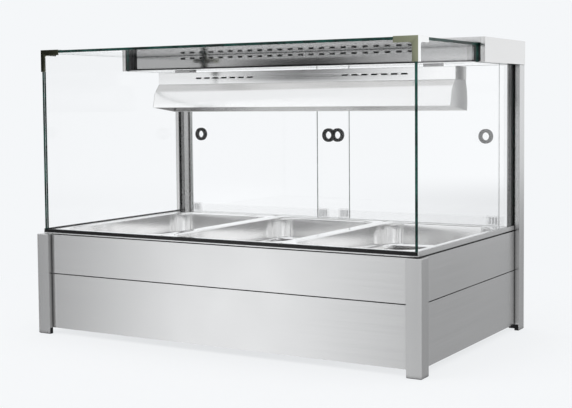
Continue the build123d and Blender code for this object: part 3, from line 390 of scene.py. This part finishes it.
finish = {
    # brushed: name, axis of the brush lines, colour, roughness, strength of the lines, unlit boxes
    # satin: name, colour, roughness, colour of the faces along X (a painted reflection)
    # plastic: name, colour, roughness, grain, paleness, shine
    # These copies of brushed steel differ in colour as painted light and shade: the hood, header base and
    # lamp box lighter, the fascia and the upright legs darker.
    "steelX": brushedSteel("steelBrushedAcross", 0),
    "deckX": brushedSteel("steelDeckAcross", 0, (0.72, 0.712, 0.704), 0.24),
    "deckY": brushedSteel("steelDeckDeep", 1, (0.62, 0.615, 0.61), 0.26),
    "hoodX": brushedSteel("steelHoodAcross", 0, (0.90, 0.895, 0.89), 0.19, 0.6),
    "capY": brushedSteel("steelCapDeep", 1, (0.74, 0.73, 0.72), 0.20, 0.6),
    "steelY": brushedSteel("steelBrushedDeep", 1),
    "steelZ": brushedSteel("steelBrushedUpright", 2, (0.635, 0.630, 0.626)),
    "fasciaX": brushedSteel("steelBrightAcross", 0, (0.44, 0.437, 0.433), 0.08, 0.8,
                            [headerHollow, lowerFoldShadow]),
    "baseX": brushedSteel("steelUnderAcross", 0, (0.90, 0.895, 0.89), 0.14, 0.8, [headerHollow]),
    "shellX": brushedSteel("steelShellAcross", 0, hollow=[headerHollow]),
    "boxX": brushedSteel("steelBoxAcross", 0, (0.95, 0.945, 0.94), 0.11, 0.6, [boxHollow]),
    "channel": satinSteel("steelChannel", (0.19, 0.189, 0.187), 0.28, (0.50, 0.497, 0.49)),
    "clip": satinSteel("steelClip", (0.25, 0.26, 0.18), 0.05, (0.85, 0.85, 0.84)),
    "drawn": satinSteel("steelDrawn", (0.91, 0.906, 0.902), 0.11),
    "tank": satinSteel("steelRolled", (0.60, 0.60, 0.59), 0.34),
    "dull": satinSteel("steelInside", (0.50, 0.50, 0.50), 0.42),
    "blackPlastic": plastic("plasticBlack", (0.006, 0.006, 0.0065), 0.36, shine=0.35),
    "seal": plastic("rubberBlack", (0.002, 0.002, 0.0022), 0.22, 0.00002, shine=0.3),
    "rocker": plastic("plasticRocker", (0.016, 0.016, 0.017), 0.22),
    "ceramic": plastic("ceramicWhite", (0.72, 0.69, 0.63), 0.30, 0.00004, 1.08),
    "lever": plastic("leverRed", (0.42, 0.020, 0.014), 0.33, 0.00004, 1.2),
    "brass": satinSteel("brassNickel", (0.62, 0.58, 0.50), 0.30),
    "grooveShade": plastic("plasticGrooveShade", (0.50, 0.51, 0.52), 0.5, 0.00001, 1.2),
    "lens": plastic("lensRed", (0.30, 0.010, 0.006), 0.08, 0.00001, 1.3, 0.8),
    "wire": satinSteel("wireTungsten", (0.28, 0.27, 0.26), 0.35),
    "quartz": quartzGlass("glassQuartz"),
    "darkPrint": plastic("printDark", (0.012, 0.012, 0.013), 0.5, 0.00001, 1.05),
    "print": plastic("printWhite", (0.78, 0.78, 0.77), 0.5, 0.00001, 1.05),
    "glassFront": paneGlass("glassFacingFront", 1, glassLook["edge"]),
    "glassSide": paneGlass("glassFacingSide", 0, glassLook["edge"]),
    "glassTop": paneGlass("glassFacingUp", 2, glassLook["topEdge"]),
    "glassDoor": paneGlass("glassDoor", 1, glassLook["doorEdge"]),
    "track": frostedPlastic("plasticTrack", (0.99, 0.99, 0.99), 0.984),
    "glide": frostedPlastic("plasticGlide", (0.99, 0.99, 0.99), 0.93),
}
print("finishes made:", len(finish))


# Carried-over nodes: each gets its finish and slightly broken edges

def smoothGroup():
    group = bpy.data.node_groups.new("smoothShade", "GeometryNodeTree")
    group.interface.new_socket("Geometry", in_out="INPUT", socket_type="NodeSocketGeometry")
    group.interface.new_socket("Geometry", in_out="OUTPUT", socket_type="NodeSocketGeometry")
    start = group.nodes.new("NodeGroupInput")
    smooth = group.nodes.new("GeometryNodeSetShadeSmooth")
    end = group.nodes.new("NodeGroupOutput")
    group.links.new(start.outputs[0], smooth.inputs["Geometry"])
    group.links.new(smooth.outputs[0], end.inputs[0])
    return group


shadeSmooth = smoothGroup()

edgeLook = {
    "weld": 0.00001,
    "segments": 2,
    "angle": 35,  # degrees
    "weight": 80,
}


def weighNormals(piece):
    shading = piece.modifiers.new("shading", "WEIGHTED_NORMAL")
    shading.keep_sharp = False
    return shading


def softenEdges(piece, width, flat):
    weld = piece.modifiers.new("weld", "WELD")
    weld.merge_threshold = edgeLook["weld"]
    if width:
        edges = piece.modifiers.new("edges", "BEVEL")
        edges.width = width
        edges.segments = edgeLook["segments"]
        edges.limit_method = "ANGLE"
        edges.angle_limit = math.radians(edgeLook["angle"])
    if flat:
        return
    smooth = piece.modifiers.new("smooth", "NODES")
    smooth.node_group = shadeSmooth
    weighNormals(piece).weight = edgeLook["weight"]


nodeFinish = {
    # node: finish, edge width in metres
    "leg_front_left": ("steelZ", 0.0009),
    "leg_front_right": ("steelZ", 0.0009),
    "post_back_left": ("steelZ", 0.0009),
    "post_back_right": ("steelZ", 0.0009),
    "feet": ("seal", 0.0006),
    "front_panel_lower": ("steelX", 0.0005),
    "front_panel_upper": ("steelX", 0.0005),
    "side_panel_left_lower": ("steelY", 0.0005),
    "side_panel_left_upper": ("steelY", 0.0005),
    "side_panel_right_lower": ("steelY", 0.0005),
    "side_panel_right_upper": ("steelY", 0.0005),
    "control_panel": ("steelX", 0),
    "rear_panel": ("steelX", 0),
    "panel_screws": ("drawn", 0),
    "base_tray": ("dull", 0.0003),
    "deck_frame": ("deckX", 0.0004),
    "deck_rails": ("steelX", 0.0004),
    "divider_bars": ("deckY", 0.0005),
    "water_tank": ("tank", 0.0004),
    "heating_elements": ("dull", 0),
    "drain_valve": ("brass", 0.0003),
    "drain_lever": ("lever", 0.0004),
    "thermostat": ("blackPlastic", 0.0006),
    "thermostat_knob": ("rocker", 0.0004),
    "switch_housings": ("blackPlastic", 0.0004),
    "rocker_power": ("rocker", 0.0004),
    "rocker_lamps": ("rocker", 0.0004),
    "indicator_lamps": ("lens", 0),
    "cable_gland": ("blackPlastic", 0.0003),
    "terminal_block": ("ceramic", 0.0004),
    "front_glass": ("glassFront", 0.0004),
    "side_glass_left": ("glassSide", 0.0004),
    "side_glass_right": ("glassSide", 0.0004),
    "top_glass": ("glassTop", 0.0004),
    "front_glass_seal": ("seal", 0.0003),
    "glass_seals": ("seal", 0.0003),
    "corner_brackets": ("clip", 0.0005),
    "header_shell": ("shellX", 0.0006),
    "header_base": ("baseX", 0.0004),
    "header_fascia": ("fasciaX", 0.0003),
    "header_end_caps": ("capY", 0.0006),
    "glass_holders": ("blackPlastic", 0.0005),
    "glass_channels": ("channel", 0.0005),
    "door_track_bottom": ("track", 0.0003),
    "door_track_top": ("track", 0.0003),
    "door_buffers": ("glide", 0.0004),
    "door_left": ("glassDoor", 0.0003),
    "door_left_rings": ("blackPlastic", 0),
    "door_left_glides": ("glide", 0.0002),
    "door_right": ("glassDoor", 0.0003),
    "door_right_rings": ("blackPlastic", 0),
    "door_right_glides": ("glide", 0.0002),
    "lamp_box": ("boxX", 0.0004),
    "lamp_hood": ("hoodX", 0.0004),
    "lamp_end_caps": ("steelZ", 0.0004),
    "heat_lamps": ("quartz", 0),
    "lamp_sockets": ("ceramic", 0.0005),
    "pan_left": ("drawn", 0),
    "pan_centre": ("drawn", 0),
    "pan_right": ("drawn", 0),
}

# Plain sheets whose flat faces are left unsmoothed
flatNodes = ("control_panel", "rear_panel", "header_fascia", "front_panel_lower",
             "front_panel_upper", "header_base")

for name, (look, width) in nodeFinish.items():
    node = nodes[name]
    node.material_slots[0].material = finish[look]
    softenEdges(node, width, look.startswith("glass") or name in flatNodes)
print("nodes finished:", len(nodeFinish))


# Food pans, drawn with a rolled rim and soft corners

panShape = {
    "sheet": 0.001,
    "rimCorner": 0.014,
    "mouthCorner": 0.048,
    "rim": 0.0125,
    "rimRound": 0.0012,
    "rimFlat": (0.0045, 0.021),  # inset of a ring on the flat of the rim, and its corner
    "drop": 0.003,
    "mouthRound": 0.0042,
    "depth": 0.065,
    "lean": 4,  # of the walls, degrees
    "floorRound": 0.014,
    "floorEdge": 0.006,
    "wallFrom": 0.006,  # below this depth the lower skin lies outside the upper one
    "edgeWithin": 0.002,  # nearer the rim's edge than this it lies inside
    "rimSteps": 4,
    "mouthSteps": 6,
    "wallSteps": 4,
    "floorSteps": 8,
    "cornerSteps": 14,
}


def panRings(s):
    # (inset from the rim's outer edge, height below the rim's top, corner radius) of the upper skin
    edge = s["rimRound"]
    rings = [(0.0, -s["drop"], s["rimCorner"]), (0.0, -edge, s["rimCorner"])]
    for i in range(1, s["rimSteps"] + 1):
        a = math.radians(90 * i / s["rimSteps"])
        rings.append((edge * (1 - math.cos(a)), -edge * (1 - math.sin(a)), s["rimCorner"]))
    lean = math.radians(s["lean"])
    taper = math.tan(lean)
    turn = s["mouthRound"]
    start = s["rim"] + s["sheet"] + turn * taper - turn
    corner = s["mouthCorner"] + turn - s["sheet"]
    rings.append((s["rimFlat"][0], 0.0, s["rimFlat"][1]))
    rings.append((start, 0.0, corner))
    for i in range(1, s["mouthSteps"] + 1):
        a = math.radians((90 - s["lean"]) * i / s["mouthSteps"])
        run = turn * math.sin(a)
        rings.append((start + run, -turn * (1 - math.cos(a)), corner - run))
    inset, z, corner = rings[-1]
    floorZ = -(s["depth"] - s["sheet"])
    turn = s["floorRound"] - s["sheet"]
    wallEnd = floorZ + turn * (1 - math.sin(lean))
    for i in range(1, s["wallSteps"] + 1):
        down = z + (wallEnd - z) * i / s["wallSteps"]
        run = (z - down) * taper
        rings.append((inset + run, down, corner - run))
    inset, z, corner = rings[-1]
    for i in range(1, s["floorSteps"] + 1):
        a = math.radians(s["lean"] + (90 - s["lean"]) * i / s["floorSteps"])
        out = turn * (math.cos(lean) - math.cos(a))
        rings.append((inset + out, floorZ + turn * (1 - math.sin(a)), corner - out))
    inset, z, corner = rings[-1]
    rings.append((inset + s["floorEdge"], floorZ, corner - s["floorEdge"]))
    return rings


def underRings(upper, s):
    # the lower skin, one sheet away from the upper one, from the floor out to the rim
    sheet = s["sheet"]
    under = []
    for inset, z, corner in upper[:0:-1]:
        if z < -s["wallFrom"]:
            inset -= sheet
        elif inset < s["edgeWithin"]:
            inset += sheet
        under.append((inset, z - sheet, corner + sheet))
    under.append((sheet, -s["drop"], s["rimCorner"] - sheet))
    return under


def closeMesh(name, bm):
    mesh = bpy.data.meshes.new(name)
    bm.to_mesh(mesh)
    bm.free()
    return mesh


def roundedLoop(halfX, halfY, corner, steps):
    points = []
    for cornerAt, start in (((1, 1), 0), ((-1, 1), 90), ((-1, -1), 180), ((1, -1), 270)):
        cx = cornerAt[0] * (halfX - corner)
        cy = cornerAt[1] * (halfY - corner)
        for i in range(steps + 1):
            a = math.radians(start + 90 * i / steps)
            points.append((cx + corner * math.cos(a), cy + corner * math.sin(a)))
    return points


def panMesh(name, low, high, s):
    middle = (low + high) / 2
    halfX, halfY = (high.x - low.x) / 2, (high.y - low.y) / 2
    upper = panRings(s)
    bm = bmesh.new()
    loops = []
    for inset, z, corner in upper + underRings(upper, s):
        loop = roundedLoop(halfX - inset, halfY - inset, corner, s["cornerSteps"])
        loops.append([bm.verts.new((middle.x + x, middle.y + y, high.z + z)) for x, y in loop])
    count = len(loops[0])
    topEnd = len(upper) - 1
    for k in range(len(loops)):
        if k == topEnd:
            continue
        a, b = loops[k], loops[(k + 1) % len(loops)]
        for i in range(count):
            j = (i + 1) % count
            bm.faces.new((a[i], b[i], b[j], a[j]))
    bm.faces.new(loops[topEnd])
    bm.faces.new(loops[topEnd + 1][::-1])
    bmesh.ops.recalc_face_normals(bm, faces=bm.faces)
    return closeMesh(name, bm)


def addBox(bm, size, matrix):
    made = bmesh.ops.create_cube(bm, size=1)["verts"]
    bmesh.ops.transform(bm, verts=made, matrix=matrix @ Matrix.Diagonal((*size, 1)))


def addPiece(name, mesh, look, body, smooth=True):
    mesh.materials.append(finish[look])
    for face in mesh.polygons:
        face.use_smooth = smooth
    piece = bpy.data.objects.new(name, mesh)
    scene.collection.objects.link(piece)
    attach(piece, body)
    return piece


for node in ("pan_left", "pan_centre", "pan_right"):
    low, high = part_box(node)
    pan = addPiece(node + "_drawn", panMesh(node + "_drawn", low, high, panShape), "drawn", node)
    weighNormals(pan)
    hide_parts(node)
print("pans made")


# Painted shade in the grooves of the sliding doors' shoes: thin grey sheets set just inside the shoes' faces

grooveShape = {
    "count": 3,
    "shoe": 0.032,
    "width": 0.0016,
    "height": 0.017,
    "deep": 0.0011,
    "thick": 0.0002,
    "below": 0.0045,
}


def shoeGrooveShade(door, s):
    low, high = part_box(door + "_glides")
    bm = bmesh.new()
    for start in (low.x, high.x - s["shoe"]):
        for i in range(s["count"]):
            x = start + s["shoe"] * (i + 1) / (s["count"] + 1)
            for y in (low.y + s["deep"], high.y - s["deep"]):
                z = high.z - s["below"] - s["height"] / 2
                # a thin grey sheet painted as the groove's shade
                addBox(bm, (s["width"], s["thick"], s["height"]), Matrix.Translation((x, y, z)))
    addPiece(door + "_grooves", closeMesh(door + "_grooves", bm), "grooveShade", door, smooth=False)


for door in ("door_left", "door_right"):
    shoeGrooveShade(door, grooveShape)


# Filament coils inside the lamp tubes

filamentShape = {
    "radius": 0.0016,
    "wire": 0.00032,
    "pitch": 0.0045,
    "steps": 10,
    "sides": 5,
    "inset": 0.02,
}


def filamentMesh(name, low, high, s):
    middle = (low + high) / 2
    start, end = low.x + s["inset"], high.x - s["inset"]
    count = int((end - start) / s["pitch"] * s["steps"])
    rise = s["pitch"] / (2 * math.pi * s["radius"])
    bm = bmesh.new()
    last = None
    for i in range(count + 1):
        turn = 2 * math.pi * i / s["steps"]
        out = Vector((0, math.cos(turn), math.sin(turn)))
        along = Vector((rise, -math.sin(turn), math.cos(turn))).normalized()
        side = along.cross(out)
        centre = Vector((start + (end - start) * i / count, middle.y, middle.z)) + out * s["radius"]
        ring = []
        for k in range(s["sides"]):
            a = 2 * math.pi * k / s["sides"]
            ring.append(bm.verts.new(centre + (out * math.cos(a) + side * math.sin(a)) * s["wire"]))
        for k in range(s["sides"] if last else 0):
            j = (k + 1) % s["sides"]
            bm.faces.new((last[k], last[j], ring[j], ring[k]))
        last = ring
    return closeMesh(name, bm)


low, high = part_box("heat_lamps")
addPiece("lamp_filament", filamentMesh("lamp_filament", low, high, filamentShape), "wire", "cabinet")


# Printing: the dial's scale on the control panel, and the marks on the rockers

printShape = {
    "plane": 0.2875,  # the control panel's outer face
    "thick": 0.00012,
    "dial": (0.150, 0.186),
    "tickFrom": 0.0235,
    "tickTo": 0.0275,
    "tickWidth": 0.0012,
    "numbersAt": 0.0355,
    "numberSize": 0.0084,
    "marks": [("OFF", -135), ("30", -90), ("50", -45), ("70", 0), ("90", 45), ("110", 90)],
    "ticks": [-135, -112.5, -90, -67.5, -45, -22.5, 0, 22.5, 45, 67.5, 90, 112.5, 135],
    "rockerMarks": [("I", 0.0062), ("O", -0.0062)],  # height above the rocker's middle
    "rockerSize": 0.0050,
}


def flatText(text, size, thick):
    curve = bpy.data.curves.new("text", "FONT")
    curve.body = text
    curve.size = size
    curve.extrude = thick / 2
    curve.align_x = "CENTER"
    curve.align_y = "CENTER"
    holder = bpy.data.objects.new("text", curve)
    mesh = bpy.data.meshes.new_from_object(holder)
    bpy.data.objects.remove(holder)
    return mesh


def onBack(x, z, plane):  # text space to the serving side: read from +Y, upright
    turn = Matrix(((-1, 0, 0), (0, 0, 1), (0, 1, 0))).transposed().to_4x4()
    return Matrix.Translation((x, plane, z)) @ turn


def dialPrint(s):
    bm = bmesh.new()
    x, z = s["dial"]
    plane = s["plane"] + s["thick"] / 2
    for text, angle in s["marks"]:
        a = math.radians(angle)
        mesh = flatText(text, s["numberSize"], s["thick"])
        mesh.transform(onBack(x - s["numbersAt"] * math.sin(a), z + s["numbersAt"] * math.cos(a), plane))
        bm.from_mesh(mesh)
    size = (s["tickWidth"], s["tickTo"] - s["tickFrom"], s["thick"])
    out = Matrix.Translation((0, (s["tickFrom"] + s["tickTo"]) / 2, 0))
    for angle in s["ticks"]:
        turn = Matrix.Rotation(math.radians(-angle), 4, "Z")
        addBox(bm, size, onBack(x, z, plane) @ turn @ out)
    return closeMesh("dial_print", bm)


addPiece("dial_print", dialPrint(printShape), "darkPrint", "cabinet", smooth=False)


def rockerPrint(node, s):  # the marks on a rocker's two halves
    low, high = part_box(node)
    middle = (low + high) / 2
    rocker = nodes[node]
    inwards = Vector((0, -1, 0))
    bm = bmesh.new()
    for text, up in s["rockerMarks"]:
        mesh = flatText(text, s["rockerSize"], s["thick"])
        mesh.transform(onBack(middle.x, middle.z + up, 0))
        outside = Vector((middle.x, high.y + 0.05, middle.z + up))
        spot, normal = rocker.ray_cast(rocker.matrix_world.inverted() @ outside, inwards)[1:3]
        lean = normal.to_track_quat("Y", "Z").to_matrix().to_4x4()
        centre = Vector((middle.x, 0, middle.z + up))
        lift = Matrix.Translation(spot + normal * s["thick"] / 2)
        mesh.transform(lift @ lean @ Matrix.Translation(-centre))
        bm.from_mesh(mesh)
    addPiece(node + "_marks", closeMesh(node + "_marks", bm), "print", node, smooth=False)


for node in ("rocker_power", "rocker_lamps"):
    rockerPrint(node, printShape)
print("filament and dial print made")


# Studio: floor, world and lamps

studio = {
    "background": (0.913, 0.930, 0.947),
    # bands of brightness round the room: (degrees from -Y towards +X, grey)
    "low": [
        (-180, 0.62), (-110, 0.66), (-60, 0.42), (-46, 0.12), (-42, 0.28), (-38, 1.25), (-33, 2.00),
        (-29, 1.10), (-24, 0.44), (-18, 0.62), (20, 0.66), (90, 0.60), (130, 0.48), (160, 0.46), (180, 0.62),
    ],
    "rim": [
        (-180, 1.00), (-149, 1.30), (-110, 0.70), (-60, 0.40), (-45, 0.30), (-40, 0.90), (-35, 1.20),
        (-25, 1.10), (0, 0.45), (40, 0.26), (90, 0.42), (130, 0.95), (156, 1.15), (180, 1.00),
    ],
    "middle": [
        (-180, 1.00), (-149, 1.30), (-110, 0.70), (-60, 0.40), (-47, 0.04), (-42, 0.05), (-38, 0.95),
        (-34, 0.90), (-31.5, 0.10), (-29, 0.08), (-26.5, 0.70), (-23, 1.15), (-16, 0.50), (0, 0.45),
        (40, 0.26), (90, 0.42), (130, 0.95), (156, 1.15), (180, 1.00),
    ],
    "high": [
        (-180, 1.00), (-110, 0.90), (-60, 0.90), (-45, 1.30), (-25, 1.30), (-8, 0.75), (40, 0.32),
        (90, 0.40), (128, 0.65), (150, 0.92), (180, 1.00),
    ],
    # height of the sight line, as the Z of its unit vector, over which each band takes over
    "toRim": (-0.085, -0.060),
    "toMiddle": (-0.012, 0.010),
    "toHigh": (0.055, 0.14),
    "toAbove": (0.26, 0.50),
    "toBelow": (-0.40, -0.85),
    "above": 1.05,
    "below": 0.85,
    "diffuse": (0.90, 0.90, 0.91),
    "floorAlbedo": 0.86,
    "floorHalf": 40,
    "floorGlow": 0.75,  # share of the background's colour under the piece
    "floorFade": (0.2, 1.3),  # distance over which that share grows to 1
}


def rayKinds(web):
    kinds = ("Camera", "Glossy", "Transmission")
    return (web.add("ShaderNodeLightPath", {}, {}, "Is %s Ray" % kind) for kind in kinds)


def makeWorld(v):
    world = bpy.data.worlds.new("studio")
    scene.world = world
    world.use_nodes = True
    web = Web(world.node_tree)
    way = web.add("ShaderNodeTexCoord", {}, {}, "Generated")
    parts = web.add("ShaderNodeSeparateXYZ", {}, {0: way}, None)
    x, y, z = (Sock(web, parts.outputs[i]) for i in range(3))
    share = x.calc("ARCTAN2", x, y * -1) / (2 * math.pi) + 0.5
    bands = []
    for name in ("low", "rim", "middle", "high"):
        stops = [(a / 360 + 0.5, (g, g, g)) for a, g in v[name]]
        bands.append(web.add("ShaderNodeValToRGB", {"ramp": "EASE", "stops": stops}, {"Fac": share}))
    lit, *rest = bands + [(v["above"],) * 3, (v["below"],) * 3]
    for band, change in zip(rest, ("toRim", "toMiddle", "toHigh", "toAbove", "toBelow")):
        lit = web.blend(lit, band, z.step(*v[change]))
    camera, glossy, through = rayKinds(web)
    plain = web.blend(v["diffuse"], v["background"], camera + glossy + through)
    shade = web.blend(lit, (1, 1, 1), camera + through)
    colour = web.blend(plain, shade, 1.0, "MULTIPLY")
    shader = web.add("ShaderNodeBackground", {}, {"Color": colour, "Strength": 1.0})
    web.add("ShaderNodeOutputWorld", {}, {"Surface": shader})


def makeFloor(v):
    bm = bmesh.new()
    bmesh.ops.create_grid(bm, x_segments=2, y_segments=2, size=v["floorHalf"])
    mesh = closeMesh("floor", bm)
    floor = bpy.data.objects.new("floor", mesh)
    scene.collection.objects.link(floor)
    floor.visible_glossy = False
    mat, web = newMaterial("floorPale")
    here = web.add("ShaderNodeTexCoord", {}, {}, "Object")
    far = web.add("ShaderNodeVectorMath", {"operation": "LENGTH"}, {0: here}, "Value")
    lit = web.add("ShaderNodeBsdfDiffuse", {}, {"Color": (v["floorAlbedo"],) * 3 + (1,)})
    glow = web.add("ShaderNodeEmission", {}, {"Color": (*v["background"], 1), "Strength": 1.0})
    camera, glossy, through = rayKinds(web)
    share = (camera + glossy + through) * far.step(*v["floorFade"], v["floorGlow"], 1.0)
    web.close(web.mix(share, lit, glow))
    mesh.materials.append(mat)


lamps = {
    # name: place, aim, width, height, watts
    "lampKey": ((-1.2, -1.7, 3.2), (0, 0, 0.35), 1.6, 1.1, 20),
    "lampFill": ((2.4, -1.6, 1.6), (0, 0, 0.3), 1.2, 1.2, 8),
    "lampTop": ((0.2, 0.3, 3.0), (0, 0, 0.3), 1.8, 1.2, 16),
}


def makeLamp(name, place, aim, width, height, watts):
    lamp = bpy.data.lights.new(name, "AREA")
    lamp.shape = "RECTANGLE"
    lamp.size = width
    lamp.size_y = height
    lamp.energy = watts
    obj = bpy.data.objects.new(name, lamp)
    obj.location = place
    obj.rotation_euler = (Vector(aim) - Vector(place)).to_track_quat("-Z", "Y").to_euler()
    obj.visible_glossy = False
    scene.collection.objects.link(obj)


makeWorld(studio)
makeFloor(studio)
for name, lamp in lamps.items():
    makeLamp(name, *lamp)
print("studio made")
